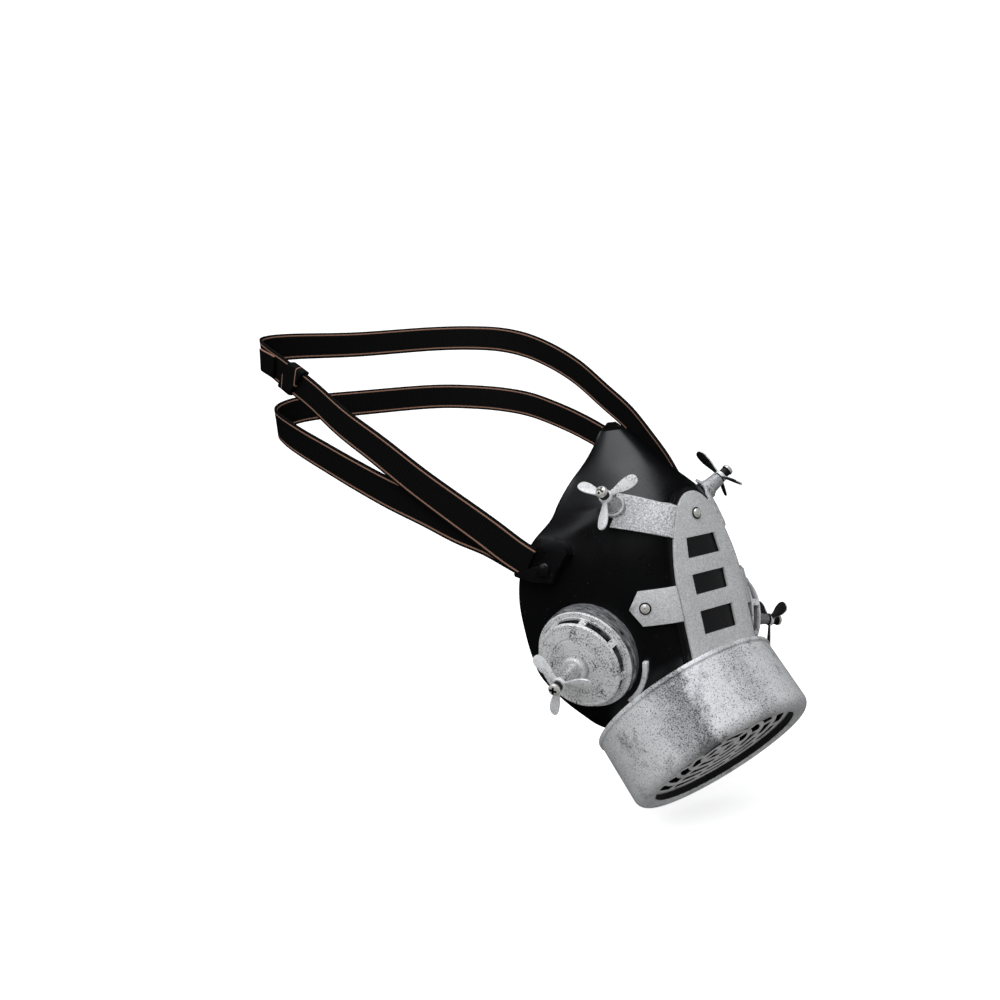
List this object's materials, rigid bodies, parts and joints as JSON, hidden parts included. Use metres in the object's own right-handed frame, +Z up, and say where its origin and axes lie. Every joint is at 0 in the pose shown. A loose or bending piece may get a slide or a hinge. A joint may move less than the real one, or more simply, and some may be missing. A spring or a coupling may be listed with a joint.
{
  "type": "gas mask style costume mask",
  "caption": "Dieselpunk costume half mask with a round canister, slotted side valves, small spinning propellers, a ladder plate and two elastic straps.",
  "frame": {"origin": "middle of the opening for the face", "axes": "+Z up, -Y the way the wearer looks, +X towards the wearer's left"},
  "size_m": [0.1603, 0.2591, 0.2269],
  "materials": {
    "black_plastic": "satin gloss, slightly scuffed",
    "black_inner": "matt black",
    "silver_leatherette": "grained silver leatherette",
    "silver_paint": "dry-brushed silver paint over black, speckled",
    "nickel": "polished nickel, slightly dull",
    "elastic": "black ribbed elastic with a thin copper line inside each edge"
  },
  "bodies": {
    "mask": {"shell": "black_plastic", "ladder_plate": "silver_leatherette", "rivet_top": "nickel", "rivet_left": "nickel", "rivet_right": "nickel", "arm_left": "silver_leatherette", "arm_right": "silver_leatherette", "tab_left": "silver_leatherette", "tab_right": "silver_leatherette", "pedestal_left": "silver_paint", "pedestal_right": "silver_paint", "valve_left": "silver_paint", "valve_right": "silver_paint", "valve_lug_left": "silver_paint", "valve_lug_right": "silver_paint", "collar_upper_left": "black_inner", "collar_upper_right": "black_inner", "collar_lower_left": "black_inner", "collar_lower_right": "black_inner", "screw_upper_left": "nickel", "screw_upper_right": "nickel", "screw_lower_left": "nickel", "screw_lower_right": "nickel", "canister_drum": "silver_paint", "canister_grille": "silver_paint", "strap_bracket_left": "black_plastic", "strap_bracket_right": "black_plastic", "bracket_button_left": "black_plastic", "bracket_button_right": "black_plastic", "strap_upper": "elastic", "strap_lower": "elastic", "strap_keeper": "elastic", "strap_tail": "elastic"},
    "propeller_upper_left": {"propeller_upper_left": "silver_paint"},
    "propeller_upper_right": {"propeller_upper_right": "silver_paint"},
    "propeller_lower_left": {"propeller_lower_left": "silver_paint"},
    "propeller_lower_right": {"propeller_lower_right": "silver_paint"}
  },
  "joints": [
    {"name": "spin_upper_left", "type": "hinge", "parent": "mask", "child": "propeller_upper_left", "pos_m": [0.03364, -0.0309, 0.03807], "axis": [0.7662, -0.3411, 0.5446], "continuous": true},
    {"name": "spin_upper_right", "type": "hinge", "parent": "mask", "child": "propeller_upper_right", "pos_m": [-0.03364, -0.0309, 0.03807], "axis": [-0.7662, -0.3411, 0.5446], "continuous": true},
    {"name": "spin_lower_left", "type": "hinge", "parent": "mask", "child": "propeller_lower_left", "pos_m": [0.0618, -0.02282, -0.02872], "axis": [0.9223, -0.3104, -0.2301], "continuous": true},
    {"name": "spin_lower_right", "type": "hinge", "parent": "mask", "child": "propeller_lower_right", "pos_m": [-0.0618, -0.02282, -0.02872], "axis": [-0.9223, -0.3104, -0.2301], "continuous": true}
  ]
}
